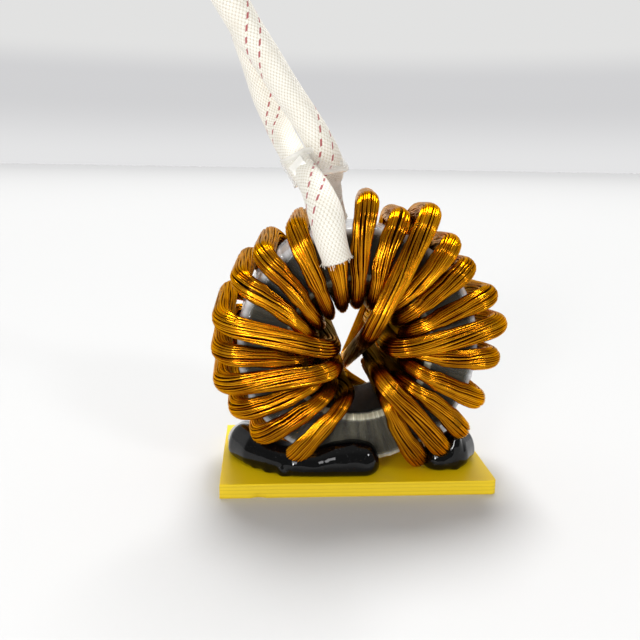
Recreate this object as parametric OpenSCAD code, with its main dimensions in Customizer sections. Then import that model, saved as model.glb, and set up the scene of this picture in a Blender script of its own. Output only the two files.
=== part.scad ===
/* [Board] */
// Width of the board, left to right
board_w = 65; // [58:1:80]
// Depth of the board, front to back
board_d = 40; // [36:1:60]
// Thickness of the board
board_t = 3.5; // [2:0.1:6]
// Corner broken off the board at its front right
board_clip = 1; // [0.4:0.2:4]

/* [Core] */
// Outside diameter of the bare core
core_od = 56.5; // [54:0.5:60]
// Diameter of the bare core's hole
core_id = 32; // [31:0.5:35]
// Depth of the core along its axis
core_depth = 24; // [20:0.5:26]
// Radius of the core's rounded edges
core_edge = 2; // [1:0.25:3]
// Thickness of the clear film round the core
film_t = 0.3; // [0.1:0.05:0.5]
// Width of the film's open seam, inside the hole
film_seam = 5; // [2:0.5:10]

/* [Winding] */
// Thickness of the wire bundle where it crosses the rim
bundle_h = 5.1; // [4.4:0.1:5.4]
// Width of the wire bundle where it crosses the rim
bundle_w = 5.3; // [4.4:0.1:5.5]
// Width of a bundle that is squeezed against the hole's wall
squeezed_w = 3.5; // [3:0.1:3.7]
// Sides of the bundle's outline
bundle_sides = 10; // [8:1:12]

/* [Leads] */
// Outside diameter of the braided sleeves
sleeve_d = 6.4; // [5.6:0.1:6.5]
// Thickness of the tape round both leads
tape_t = 0.4; // [0.2:0.1:1]
// Width of the tape along the leads
tape_w = 7; // [4:0.5:10]

/* [Adhesive] */
// Width of the adhesive beads on the board
bead_w = 8; // [7:0.25:9]
// Height of the adhesive beads along the front
bead_h = 7; // [6:0.25:9]

/* [Hidden] */

clear = 0.15;        // between the film and the bundle
seat_gap = 0.1;      // between the board and the turn that stands on it
corner_steps = 4;    // rings round each bend of the bundle
rim_lay = 6;         // degrees that the back of a turn lies before its front, over the rim
lay_fade = 1.2;      // how soon the turns stand upright towards the board
mid_reach = 3;       // how far the slight bend in the middle of a run reaches each way
swell = 0.1;         // how much wider a run is than the mean of its two ends
slack_y = 0.4;       // share of a rim's slack that also stands off the faces
cord_sides = 12;     // sides of the sleeves' outline
tape_clear = 0.05;   // between the sleeves and the tape
tape_at_front = 4;   // the point of the front sleeve's route that the tape goes round
tape_at_rear = 3;    // the same on the rear sleeve
bead_clear = 0.05;   // between the adhesive and the film
bead_foot = 0.6;     // height at which a lump of adhesive stops being wide
dome_share = 0.65;   // radius of a lump's round top, as a share of its radius on the board

// The bundle keeps its copper, so it grows taller where it is squeezed narrower.
squeezed_h = 0.84 * bundle_h * bundle_w / squeezed_w;
loose_w = 0.85 * bundle_w;
loose_h = 0.98 * bundle_h;
bend = core_edge + bundle_h / 2 + clear + film_t;

film_r = core_od / 2 + film_t;
bore_r = core_id / 2 - film_t;
face_y = core_depth / 2 + film_t;
rim_r = film_r + clear + bundle_h / 2;
rim_y = face_y + clear + bundle_h / 2;

// Turns in the order in which the bundle runs. Angles go counter-clockwise from the right.
// [angle over the rim, slack over the rim, angle in the hole, layer in the hole,
//  ride over its neighbours in front, the same at the back, bow of the front run, bow of the next back run,
//  angle that it turns inside the hole, layers that it climbs there]
// Layer 0 lies on the hole's wall, and 1 rides on the bundles that do.
lead_in = [0, 0, 111.5, 0, 0, 0, 0, 0, 0, 0];
left_turns = [
  [119, 0.5, 128.5, 0, 0, 0, 0, 0, 0, 0],
  [136, 0.5, 145.5, 0, 0, 0, 1, 0, 0, 0],
  [150, 1, 162.5, 0, 0, 0, 1.5, 0, 0, 0],
  [168, 1.5, 169, 1.2, 5.5, 5.5, 0, 0, 0, 0],
  [181, 1, 188, 0, 0, 0, 0, 0, 0, 0],
  [194, 1.5, 206, 1.2, 6, 5.5, 0, 0, 0, 0],
  [207, 0.5, 216, 0, 0, 0, -1, 0, 0, 0],
  [222, 0, 234.5, 0, 0, 0, -0.5, 0, 0, 0],
  [239, 0, 255.5, 0, 0, 0, 0, 0, 0, 0]
];
right_turns = [
  [299, 0, 299, 0, 0, 0, 1, 0, 0, 0],
  [310, 1, 309, 1.2, 5.5, 5.5, -0.5, 0, 10, 0],
  [321.5, 1, 324, 0, 0, 0, -1.5, 0, 0, 0],
  [337, 0, 342.5, 0, 0, 0, 0, 0, 0, 0],
  [357, 0.5, 361, 0, 0, 0, 1, 0, 0, 0],
  [371.5, 2, 373, 1.2, 6, 6.5, 0.5, 0, 0, 0],
  [384, 1.5, 382.5, 0, 0, 0, -0.5, 0, 0, 0],
  [399, 0, 400, 0, 0, 0, 0, 0, 0, 0],
  [411, 1, 418.5, 0, 0, 0, 1, 0, 0, 0],
  [425, 4, 436, 1.3, 6.5, 11.5, 0, 3, 196, -1.6],
  [435, 0.5, 437, 0, 0, 0, -1.5, 0, 0, 0],
  [449, 3, 454.5, 0, 0, 0, -1, 0, 0, 0]
];
turns = concat([lead_in], left_turns, right_turns);

// Degrees that the back of a turn lies before its front. It fades to none near the board.
function lay(t) = rim_lay * max(0, min(1, 1 + lay_fade * sin(t[0])));

// The ring stands on whichever turn reaches lowest.
function reach_down(t) = -(rim_r + t[1]) * sin(t[0]) + norm([bundle_h * sin(t[0]), bundle_w * cos(t[0])]) / 2;
ring_z = board_t + seat_gap + max([for (i = [1:len(turns) - 1]) reach_down(turns[i])]);

// The middles of the sleeves, from their lower ends up. Heights count from the middle of the ring.
lead_front_route = [
  [-6.5, -19, 22], [-8, -20, 26.5], [-9, -19, 31.5], [-11, -14.5, 37], [-14, -7.5, 41.5],
  [-16.5, -1.5, 46], [-19, 3, 51], [-22, 4, 57.5], [-24.5, 3, 64.5], [-27, 1, 71], [-29.5, -1, 78.5], [-32, -3, 85]
];
lead_rear_route = [
  [-3, 22.5, 28], [-5, 16.5, 34], [-5.5, 8, 38.5], [-7, -1, 42.5], [-10, -6, 47.5],
  [-13.5, -7, 53], [-17.5, -6.5, 58.5], [-21.5, -6.5, 64.5], [-26, -7, 71], [-30.5, -8, 78], [-33.5, -10, 83.5]
];

function unit(v) = v / norm(v);
function mix(a, b, t) = a + (b - a) * t;
function ring_point(r, angle, y) = [r * cos(angle), y, ring_z + r * sin(angle)];
function lifted(route) = [for (p = route) p + [0, 0, ring_z]];

// Half height and half width of the bundle in the hole.
function hole_section(layer) =
  let (t = max(0, min(1, layer)))
  [mix(squeezed_h, loose_h, t) / 2, mix(squeezed_w, loose_w, t) / 2];
rim_section = [bundle_h / 2, bundle_w / 2];

// A bend of the bundle: [point, section, how far the bend reaches, way out of the ring if in mid run].
function rim_bend(t, angle, y) = [ring_point(rim_r + t[1], angle, y), rim_section, bend, undef];
function hole_bend(t, side) =
  let (
    layer = side < 0 ? t[3] : t[3] + t[9],
    angle = side < 0 ? t[2] : t[2] + t[8],
    over = side < 0 ? t[4] : t[5],
    s = hole_section(layer),
    r = bore_r - clear - s[0] - layer * loose_h
  )
  [ring_point(r, angle, side * (face_y + clear + s[0] + over)), s, bend, undef];
function run_bend(a, b, out, bow) =
  let (along = b[0] - a[0], side = unit(cross(out, unit([along[0], 0, along[2]]))))
  [(a[0] + b[0]) / 2 + side * bow + out * swell, (a[1] + b[1]) / 2 + [0, swell], mid_reach, out];

function turn_bends(i) =
  let (
    t = turns[i],
    before = turns[i - 1],
    leave = hole_bend(before, 1),
    back = rim_bend(t, t[0] - lay(t), rim_y + slack_y * (t[1] + before[5])),
    front = rim_bend(t, t[0], -rim_y - slack_y * t[1]),
    enter = hole_bend(t, -1)
  )
  [leave, run_bend(leave, back, [0, 1, 0], before[7]), back, front, run_bend(front, enter, [0, -1, 0], t[6]), enter];
bends = concat(
  [hole_bend(lead_in, -1)],
  [for (i = [1:len(turns) - 1]) each turn_bends(i)],
  [hole_bend(turns[len(turns) - 1], 1)]
);

// Rings [point, way along, way across, section] round the bend at v, between its neighbours a and b.
function bend_rings(a, v, b) =
  let (
    d1 = unit(v[0] - a),
    d2 = unit(b - v[0]),
    reach = min(v[2], 0.48 * norm(v[0] - a), 0.48 * norm(b - v[0])),
    start = v[0] - d1 * reach,
    end = v[0] + d2 * reach,
    w = sqrt((1 + d1 * d2) / 2),
    steps = v[3] == undef ? corner_steps : 2
  )
  [
    for (k = [0:steps - 1])
      let (
        t = k / (steps - 1),
        share = [(1 - t) * (1 - t), 2 * w * t * (1 - t), t * t],
        p = (share[0] * start + share[1] * v[0] + share[2] * end) / (share[0] + share[1] + share[2]),
        along = unit(mix(d1, d2, t)),
        across = v[3] == undef ? unit(cross(d1, d2)) : unit(cross(v[3], along))
      )
      [p, along, across, v[1]]
  ];

// One bundle from the end of the front sleeve, through every turn, to the end of the rear one.
front_end = lifted(lead_front_route)[0];
rear_end = lifted(lead_rear_route)[0];
function end_ring(route, out, way) =
  let (along = way * unit(route[1] - route[0]))
  [lifted(route)[0], along, unit(cross(out, along)), rim_section];
last = len(bends) - 1;
bundle_rings = concat(
  [end_ring(lead_front_route, [0, -1, 0], -1)],
  [
    for (i = [0:last])
      each bend_rings(i == 0 ? front_end : bends[i - 1][0], bends[i], i == last ? rear_end : bends[i + 1][0])
  ],
  [end_ring(lead_rear_route, [0, 1, 0], 1)]
);

function ring_outline(r, sides) =
  let (up = cross(r[1], r[2]))
  [for (k = [0:sides - 1]) r[0] + up * (r[3][0] * cos(360 * k / sides)) + r[2] * (r[3][1] * sin(360 * k / sides))];

// Closed solid through a list of rings.
module swept(rings, sides) {
  points = [for (r = rings) each ring_outline(r, sides)];
  n = len(rings);
  walls = [
    for (i = [0:n - 2], k = [0:sides - 1])
      let (a = i * sides + k, b = i * sides + (k + 1) % sides)
      each [[a, b, b + sides], [a, b + sides, a + sides]]
  ];
  first_cap = [for (k = [1:sides - 2]) [0, k + 1, k]];
  top = (n - 1) * sides;
  last_cap = [for (k = [1:sides - 2]) [top, top + k, top + k + 1]];
  polyhedron(points, concat(walls, first_cap, last_cap));
}

// Rings of a round cord along a route, square to it at both ends.
function cord_rings(route, r) =
  let (p = lifted(route), n = len(p) - 1)
  [
    for (i = [0:n])
      let (along = unit(i == 0 ? p[1] - p[0] : i == n ? p[n] - p[n - 1] : unit(p[i] - p[i - 1]) + unit(p[i + 1] - p[i])))
      [p[i], along, unit(cross([0, 1, 0], along)), [r, r]]
  ];

module lead(route, extra = 0) {
  swept(cord_rings(route, sleeve_d / 2 + extra), cord_sides);
}

module lead_front() {
  color("ivory") lead(lead_front_route);
}

module lead_rear() {
  color("ivory") lead(lead_rear_route);
}

// Short fat disc of tape round one sleeve.
module tape_turn(route, i) {
  p = lifted(route);
  along = unit(p[i + 1] - p[i - 1]);
  translate(p[i])
    rotate([0, acos(along[2]), atan2(along[1], along[0])])
      cylinder(h = tape_w, r = sleeve_d / 2 + tape_t, center = true, $fn = 32);
}

module lead_tape() {
  color([0.85, 0.83, 0.76, 0.6])
    difference() {
      hull() {
        tape_turn(lead_front_route, tape_at_front);
        tape_turn(lead_rear_route, tape_at_rear);
      }
      lead(lead_front_route, tape_clear);
      lead(lead_rear_route, tape_clear);
    }
}

module base_board() {
  x = board_w / 2;
  y = board_d / 2;
  color([0.85, 0.74, 0.2])
    linear_extrude(board_t)
      polygon([[-x, -y], [x - board_clip, -y], [x, board_clip - y], [x, y], [-x, y]]);
}

// Half of the ring's cut face, with rounded corners.
module ring_section(r_in, r_out, depth, edge) {
  translate([r_in, edge - depth / 2])
    square([r_out - r_in, depth - 2 * edge]);
  translate([r_in + edge, -depth / 2])
    square([r_out - r_in - 2 * edge, depth]);
  for (x = [r_in + edge, r_out - edge], y = [edge - depth / 2, depth / 2 - edge])
    translate([x, y])
      circle(edge, $fn = 48);
}

// Turns a section round the ring's axis, which runs from front to back.
module ring() {
  translate([0, 0, ring_z])
    rotate([90, 0, 0])
      rotate_extrude($fn = 180)
        children();
}

module core_section() {
  ring_section(core_id / 2, core_od / 2, core_depth, core_edge);
}

module core() {
  color("dimgray") ring() core_section();
}

// Film all round the core but for the open seam, which the bundles in the hole cover.
module core_film() {
  color([0.7, 0.75, 0.78, 0.5])
    ring()
      difference() {
        ring_section(bore_r, film_r, core_depth + 2 * film_t, core_edge + film_t);
        core_section();
        translate([core_id / 2 - 2 * film_t, -film_seam / 2])
          square([2 * film_t, film_seam]);
      }
}

module winding_body() {
  swept(bundle_rings, bundle_sides);
}

module winding() {
  color([0.75, 0.42, 0.08]) winding_body();
}

// Lumps of adhesive, from one end of a bead to the other, where the wound ring meets the board.
// [share of the ring's half width, share of its half depth, share of the bead's width, share of its height]
left_lumps = [
  [-0.83, 0.73, 0.85, 0.7], [-0.89, 0.27, 0.95, 1.05], [-0.88, -0.23, 1.05, 1.35], [-0.77, -0.67, 0.95, 1.2],
  [-0.61, -0.9, 1, 1.05], [-0.42, -0.93, 0.95, 0.9], [-0.22, -0.92, 1, 1], [-0.05, -0.92, 1, 1.2],
  [0.06, -0.92, 0.98, 1.05]
];
right_lumps = [
  [0.66, -0.73, 0.95, 0.95], [0.77, -0.63, 1.1, 1.2], [0.88, -0.33, 1.15, 1.15], [0.92, 0.1, 1.05, 1],
  [0.9, 0.53, 0.9, 0.7]
];

module lump(l) {
  foot_r = l[2] * bead_w / 2;
  top_r = dome_share * foot_r;
  translate([l[0] * rim_r, l[1] * rim_y, board_t]) {
    cylinder(r = foot_r, h = bead_foot, $fn = 24);
    translate([0, 0, l[3] * bead_h - top_r])
      sphere(top_r, $fn = 18);
  }
}

// A bead of adhesive that fills the corner between the board and the wound ring.
module bead(lumps) {
  difference() {
    union() {
      for (l = lumps)
        hull() lump(l);
      for (i = [1:len(lumps) - 1])
        hull() {
          lump(lumps[i - 1]);
          lump(lumps[i]);
        }
    }
    winding_body();
    translate([0, 0, ring_z])
      rotate([90, 0, 0])
        cylinder(r = film_r + bead_clear, h = 2 * (face_y + bead_clear), center = true, $fn = 90);
  }
}

module adhesive_left() {
  color([0.05, 0.05, 0.06]) bead(left_lumps);
}

module adhesive_right() {
  color([0.05, 0.05, 0.06]) bead(right_lumps);
}

base_board();
core();
core_film();
winding();
adhesive_left();
adhesive_right();
lead_front();
lead_rear();
lead_tape();
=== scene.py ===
"""Looks of a toroidal transformer: a ring core in clear film, wound with a thick bundle of enamelled
strands, glued upright to a glass-epoxy board, with two taped leads in braided sleeves."""

import logging
import math
from dataclasses import dataclass, fields
from enum import Enum
from typing import Any, Iterable, Sequence, Union

import bpy
import numpy as np
from mathutils import Matrix, Vector
from numpy.typing import NDArray


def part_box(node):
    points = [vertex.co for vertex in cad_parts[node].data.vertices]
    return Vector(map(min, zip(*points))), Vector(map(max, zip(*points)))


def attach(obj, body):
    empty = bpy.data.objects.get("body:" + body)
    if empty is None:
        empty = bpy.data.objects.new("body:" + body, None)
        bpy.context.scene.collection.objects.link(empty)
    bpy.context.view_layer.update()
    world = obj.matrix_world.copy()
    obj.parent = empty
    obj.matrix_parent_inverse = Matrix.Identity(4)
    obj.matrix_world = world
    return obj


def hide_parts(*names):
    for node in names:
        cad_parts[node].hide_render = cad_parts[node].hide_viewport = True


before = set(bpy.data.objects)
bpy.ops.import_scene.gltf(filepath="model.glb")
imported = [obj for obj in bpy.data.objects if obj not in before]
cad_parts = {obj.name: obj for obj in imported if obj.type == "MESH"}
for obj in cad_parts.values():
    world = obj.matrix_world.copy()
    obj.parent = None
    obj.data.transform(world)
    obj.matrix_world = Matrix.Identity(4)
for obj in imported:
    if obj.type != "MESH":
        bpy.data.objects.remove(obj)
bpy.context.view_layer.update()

MM = 0.001
BODY = "root"
log = logging.getLogger("transformer")
Array = NDArray[np.float64]
Colour = tuple[float, float, float]
Place = tuple[float, float, float]
Span = tuple[float, float]


class Node(str, Enum):
    """Names of the solids that the looks stand for."""

    BOARD = "base_board"
    CORE = "core"
    FILM = "core_film"
    WINDING = "winding"
    ADHESIVE_LEFT = "adhesive_left"
    ADHESIVE_RIGHT = "adhesive_right"
    LEAD_FRONT = "lead_front"
    LEAD_REAR = "lead_rear"
    LEAD_TAPE = "lead_tape"


class Slot(str, Enum):
    """Material slots of the part's record."""

    BOARD = "board"
    FILM = "film"
    COPPER = "copper"
    ADHESIVE = "adhesive"
    SLEEVE = "sleeve"
    TAPE = "tape"


# ---------------------------------------------------------------- node trees


class Wire:
    """One output socket of a node tree. Its operators add Math nodes to the tree."""

    def __init__(self, graph: "Graph", socket: bpy.types.NodeSocket) -> None:
        """Keeps the socket and the tree it belongs to."""
        self.graph = graph
        self.socket = socket

    def __add__(self, other: "Plug") -> "Wire":
        """Sum."""
        return self.graph.math("ADD", self, other)

    def __sub__(self, other: "Plug") -> "Wire":
        """Difference."""
        return self.graph.math("SUBTRACT", self, other)

    def __rsub__(self, other: "Plug") -> "Wire":
        """Difference from a number, such as 1 - mask."""
        return self.graph.math("SUBTRACT", other, self)

    def __mul__(self, other: "Plug") -> "Wire":
        """Product."""
        return self.graph.math("MULTIPLY", self, other)

    def __truediv__(self, other: "Plug") -> "Wire":
        """Quotient."""
        return self.graph.math("DIVIDE", self, other)

    __radd__ = __add__
    __rmul__ = __mul__


Plug = Union[Wire, float, int, str, Sequence[float], bpy.types.ID]


def paint(value: Plug) -> Plug:
    """Gives a colour its alpha, and leaves a wire as it is."""
    return value if isinstance(value, Wire) else (*value, 1.0)


class Graph:
    """A node tree of a material or of Geometry Nodes, with short ways to add to it."""

    def __init__(self, tree: bpy.types.NodeTree) -> None:
        """Keeps the tree that nodes are added to."""
        self.tree = tree

    def add(
        self, kind: str, settings: dict[str, Any] | None = None, values: dict[Any, Plug] | None = None
    ) -> bpy.types.Node:
        """Adds a node.

        Args:
            kind: The node's type, such as ShaderNodeTexNoise.
            settings: Properties that are set before any socket.
            values: Values or links of its input sockets, by name or number.

        Returns:
            The new node.
        """
        node = self.tree.nodes.new(kind)
        for name, value in (settings or {}).items():
            setattr(node, name, value)
        for name, value in (values or {}).items():
            if isinstance(value, Wire):
                self.tree.links.new(value.socket, node.inputs[name])
            else:
                node.inputs[name].default_value = value
        return node

    def wire(
        self,
        kind: str,
        settings: dict[str, Any] | None = None,
        values: dict[Any, Plug] | None = None,
        out: int | str = 0,
    ) -> Wire:
        """Adds a node and gives one of its outputs.

        Args:
            kind: The node's type.
            settings: Properties that are set before any socket.
            values: Values or links of its input sockets.
            out: The output's name or number.

        Returns:
            The output's wire.
        """
        return Wire(self, self.add(kind, settings, values).outputs[out])

    def math(self, operation: str, *values: Plug) -> Wire:
        """Adds a Math node over the values, in order."""
        return self.wire("ShaderNodeMath", {"operation": operation}, dict(enumerate(values)))

    def vector(self, operation: str, *values: Plug, out: str = "Vector") -> Wire:
        """Adds a Vector Math node over the vectors, in order. Its output Value is a number."""
        return self.wire("ShaderNodeVectorMath", {"operation": operation}, dict(enumerate(values)), out)

    def scaled(self, vector: Plug, factor: Plug) -> Wire:
        """Multiplies a vector by a number."""
        return self.wire("ShaderNodeVectorMath", {"operation": "SCALE"}, {0: vector, "Scale": factor})

    def joined(self, x: Plug = 0.0, y: Plug = 0.0, z: Plug = 0.0) -> Wire:
        """A vector of three numbers."""
        return self.wire("ShaderNodeCombineXYZ", values={0: x, 1: y, 2: z})

    def parts(self, vector: Plug) -> tuple[Wire, ...]:
        """The three numbers of a vector."""
        return tuple(Wire(self, s) for s in self.add("ShaderNodeSeparateXYZ", values={0: vector}).outputs)

    def mix(self, factor: Plug, first: Plug, second: Plug) -> Wire:
        """Mixes two colours."""
        values = {"Factor": factor, 6: paint(first), 7: paint(second)}
        return self.wire("ShaderNodeMix", {"data_type": "RGBA"}, values, out=2)

    def noise(self, vector: Plug, scale: float, detail: float = 2.0, rough: float = 0.5) -> Wire:
        """Adds a noise texture and gives its value."""
        values = {"Vector": vector, "Scale": scale, "Detail": detail, "Roughness": rough}
        return self.wire("ShaderNodeTexNoise", {}, values)

    def step(self, value: Plug, low: float, high: float) -> Wire:
        """Rises smoothly from 0 at low to 1 at high."""
        values = {"Value": value, "From Min": low, "From Max": high}
        return self.wire("ShaderNodeMapRange", {"interpolation_type": "SMOOTHSTEP"}, values)


class Surface(Graph):
    """A material's node tree round one Principled BSDF."""

    def __init__(self, name: str) -> None:
        """Makes the material and clears its nodes.

        Args:
            name: The material's name.
        """
        self.material = bpy.data.materials.new(name)
        self.material.use_nodes = True
        super().__init__(self.material.node_tree)
        self.tree.nodes.clear()

    def here(self) -> Wire:
        """The point's place in the object, in metres."""
        return self.wire("ShaderNodeTexCoord", out="Object")

    def attribute(self, name: str) -> Wire:
        """A value stored on the mesh."""
        return self.wire("ShaderNodeAttribute", {"attribute_name": name}, out="Fac")

    def bump(self, height: Wire, distance: float, strength: float = 1.0) -> Wire:
        """Adds a Bump node over a height."""
        values = {"Strength": strength, "Distance": distance, "Height": height}
        return self.wire("ShaderNodeBump", values=values)

    def finish(self, values: dict[str, Plug]) -> bpy.types.Material:
        """Adds the Principled BSDF and the output.

        Args:
            values: Values or links of the shader's sockets.

        Returns:
            The finished material.
        """
        shader = self.wire("ShaderNodeBsdfPrincipled", values=values)
        self.add("ShaderNodeOutputMaterial", values={"Surface": shader})
        return self.material


class Recipe(Graph):
    """A Geometry Nodes tree that makes what repeats along a line or on points, with named inputs."""

    def __init__(self, name: str, inputs: dict[str, str]) -> None:
        """Makes the tree and its sockets.

        Args:
            name: The tree's name.
            inputs: The kind of each input, such as Float, by its name.
        """
        super().__init__(bpy.data.node_groups.new(name, "GeometryNodeTree"))
        face = self.tree.interface
        for label, kind in {"Geometry": "Geometry", **inputs, "Finish": "Material"}.items():
            face.new_socket(label, in_out="INPUT", socket_type="NodeSocket" + kind)
        face.new_socket("Geometry", in_out="OUTPUT", socket_type="NodeSocketGeometry")
        self.given = {s.name: Wire(self, s) for s in self.add("NodeGroupInput").outputs if s.name}

    def stored(self, name: str, kind: str = "FLOAT") -> Wire:
        """A value stored on the points."""
        node = self.add("GeometryNodeInputNamedAttribute", {"data_type": kind}, {"Name": name})
        return Wire(self, next(s for s in node.outputs if s.enabled and s.name == "Attribute"))

    def tube(self, line: Wire, radius: Plug, sides: Plug) -> Wire:
        """Sweeps a circle along a curve.

        Args:
            line: The curve.
            radius: The circle's radius.
            sides: The number of its sides.

        Returns:
            The tube, with closed ends.
        """
        circle = {"Resolution": sides, "Radius": radius}
        ring = self.wire("GeometryNodeCurvePrimitiveCircle", {"mode": "RADIUS"}, circle)
        swept = {"Curve": line, "Profile Curve": ring, "Fill Caps": True}
        return self.wire("GeometryNodeCurveToMesh", values=swept)

    def close(self, shape: Wire) -> None:
        """Makes the shape real, gives it its finish and ends the tree.

        Args:
            shape: What the tree has made.
        """
        real = self.wire("GeometryNodeRealizeInstances", values={0: shape})
        dressed = {"Geometry": real, "Material": self.given["Finish"]}
        self.add("NodeGroupOutput", values={0: self.wire("GeometryNodeSetMaterial", values=dressed)})

    def grow(self, obj: bpy.types.Object, values: dict[str, Any]) -> bpy.types.Object:
        """Runs the tree on an object and bakes what it makes.

        Args:
            obj: The object with the line or the points.
            values: The tree's inputs by name.

        Returns:
            The object, as plain mesh.
        """
        modifier = obj.modifiers.new(self.tree.name, "NODES")
        modifier.node_group = self.tree
        for item in self.tree.interface.items_tree:
            if item.in_out == "INPUT" and item.name in values:
                modifier[item.identifier] = values[item.name]
        return bake(obj)


# ---------------------------------------------------------------- finishes


@dataclass(frozen=True)
class EnamelledStrands:
    """Amber enamel over drawn copper, a little different from strand to strand, with painted shade in the
    hole and inside the bundle.
    """

    dark: Colour = (0.22, 0.048, 0.002)
    bright: Colour = (1.0, 0.46, 0.012)
    dull: Colour = (0.20, 0.062, 0.004)
    # Painted shade for strands in the hole and inside the bundle.
    buried: Colour = (0.022, 0.007, 0.001)
    dirt: Colour = (0.012, 0.008, 0.004)
    grazing: Colour = (0.95, 0.68, 0.32)
    dirty_place: Place = (-0.0133, -0.0185, 0.0319)
    dirty_reach: Span = (1.5 * MM, 6.5 * MM)
    hole_r: Span = (13.5 * MM, 18.0 * MM)
    hole_depth: Span = (8.5 * MM, 15.0 * MM)
    roughness: float = 0.14
    ring_z: float = 0.0335

    def build(self) -> bpy.types.Material:
        """Makes the material.

        Returns:
            The material.
        """
        s = Surface("enamelled_strands")
        here = s.here()
        tone = s.attribute("strand_tone")
        patches = s.noise(here, 130.0, 3.0)
        soot = s.step(s.noise(here, 75.0, 4.0, 0.6), 0.56, 0.72)
        colour = s.mix(s.math("MAXIMUM", tone * 0.55 + patches * 1.3 - 0.48, 0.0), self.dark, self.bright)
        colour = s.mix(soot * 0.55, colour, self.dull)
        # Dirt sticks to the left turns, by the hole.
        spot = s.vector("DISTANCE", here, self.dirty_place, out="Value")
        dirt = (1 - s.step(spot, *self.dirty_reach)) * s.step(s.noise(here, 520.0, 2.0, 0.6), 0.52, 0.6)
        colour = s.mix(dirt * 0.85, colour, self.dirt)
        # Painted shade: strands in the hole and between the outer ones get little light, so their colour is
        # darkened.
        x, y, z = s.parts(here)
        up = z - self.ring_z
        radius = s.math("SQRT", x * x + up * up)
        deep = (1 - s.step(radius, *self.hole_r)) * (1 - s.step(s.math("ABSOLUTE", y), *self.hole_depth))
        # The middle body's tone of -1 gives it the painted shade too.
        inner = 1 - s.step(tone, -0.8, -0.2)
        return s.finish(
            {
                "Base Color": s.mix(s.math("MAXIMUM", deep * 0.9, inner), colour, self.buried),
                "Metallic": 1.0,
                "Roughness": self.roughness + patches * 0.1 + soot * 0.15 + deep * 0.2 + dirt * 0.4,
                "Specular Tint": paint(self.grazing),
                "Normal": s.bump(s.noise(here, 900.0, 2.0), 0.05 * MM, 0.6),
            }
        )


@dataclass(frozen=True)
class CoreCoating:
    """Dark grey pressed core with faint marks that run out from the hole, and painted shade in its bore."""

    dark: Colour = (0.020, 0.017, 0.010)
    pale: Colour = (0.080, 0.070, 0.044)
    # Painted shade: the bore is near black.
    bore: Colour = (0.004, 0.0035, 0.003)
    ring_z: float = 0.0335
    bore_r: Span = (0.0162, 0.0174)

    def build(self) -> bpy.types.Material:
        """Makes the material.

        Returns:
            The material.
        """
        s = Surface("core_coating")
        here = s.here()
        x, y, z = s.parts(here)
        up = z - self.ring_z
        angle = s.math("ARCTAN2", up, x)
        radius = s.math("SQRT", x * x + up * up)
        streaks = s.noise(s.joined(angle * 9.0, radius * 60.0, y * 60.0), 1.6, 4.0, 0.65)
        grain = s.noise(here, 1500.0, 2.0)
        colour = s.mix(s.step(streaks, 0.35, 0.75), self.dark, self.pale)
        return s.finish(
            {
                "Base Color": s.mix(1 - s.step(radius, *self.bore_r), colour, self.bore),
                "Roughness": 0.42 + grain * 0.2,
                "Specular IOR Level": 0.25,
                "Normal": s.bump(streaks * 0.6 + grain * 0.4, 0.12 * MM, 0.5),
            }
        )


@dataclass(frozen=True)
class ClearFilm:
    """Glossy clear film in overlapping wraps, with painted reflection on the rim, painted highlight round the
    edges of the hole and painted shade in the bore.
    """

    tint: Colour = (0.34, 0.35, 0.31)
    # Painted reflection on the rim.
    pale: Colour = (0.90, 0.93, 0.96)
    # Painted highlight round the edges of the hole.
    lip: Colour = (0.84, 0.80, 0.58)
    ring_z: float = 0.0335
    rim_r: Span = (25.9 * MM, 28.1 * MM)
    lip_in: Span = (15.85 * MM, 16.4 * MM)
    lip_out: Span = (17.2 * MM, 18.1 * MM)
    bore_r: Span = (15.8 * MM, 16.1 * MM)

    def build(self) -> bpy.types.Material:
        """Makes the material.

        Returns:
            The material.
        """
        s = Surface("clear_film")
        here = s.here()
        x, y, z = s.parts(here)
        up = z - self.ring_z
        radius = s.math("SQRT", x * x + up * up)
        angle = s.math("ARCTAN2", up, x)
        # Painted reflection makes the rim pale and opaque, a painted highlight brightens the edges of the
        # hole, and painted shade clears the film in the bore so the dark core shows.
        rim = s.step(radius, *self.rim_r)
        lip = s.step(radius, *self.lip_in) * (1 - s.step(radius, *self.lip_out))
        bore = 1 - s.step(radius, *self.bore_r)
        crease = s.noise(here, 160.0, 3.0, 0.6)
        # Tight streaks run across the rim and outwards on the faces: the film's creases and laps, with
        # painted highlight along them.
        streak = s.step(s.noise(s.joined(angle * 38.0, radius * 90.0, y * 90.0), 1.0, 3.0, 0.6), 0.45, 0.7)
        shown = rim * (0.74 + streak * 0.24) + lip * (0.42 + streak * 0.45)
        shown = shown + (s.attribute("lap") * 0.5 + streak) * 0.06 - bore * 0.05
        return s.finish(
            {
                "Base Color": s.mix(lip, s.mix(rim, self.tint, self.pale), self.lip),
                "Alpha": s.math("MINIMUM", shown + 0.06, 1.0),
                "Roughness": 0.06 + crease * 0.06,
                "Specular IOR Level": 0.8,
                "Normal": s.bump(crease + streak * 0.3, 0.5 * MM, 0.4),
            }
        )


@dataclass(frozen=True)
class WetAdhesive:
    """Black adhesive that set with a wet gloss and caught a little dust."""

    colour: Colour = (0.0015, 0.0015, 0.0018)
    dust: Colour = (0.10, 0.10, 0.11)

    def build(self) -> bpy.types.Material:
        """Makes the material.

        Returns:
            The material.
        """
        s = Surface("wet_adhesive")
        here = s.here()
        swell = s.noise(here, 100.0, 1.0) + s.noise(here, 300.0, 1.0) * 0.12
        dust = s.step(s.noise(here, 2600.0, 1.0), 0.66, 0.74)
        return s.finish(
            {
                "Base Color": s.mix(dust * 0.12, self.colour, self.dust),
                "Roughness": 0.045 + dust * 0.2,
                "Specular IOR Level": 0.3,
                "Normal": s.bump(swell, 1.2 * MM, 0.4),
            }
        )


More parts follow.
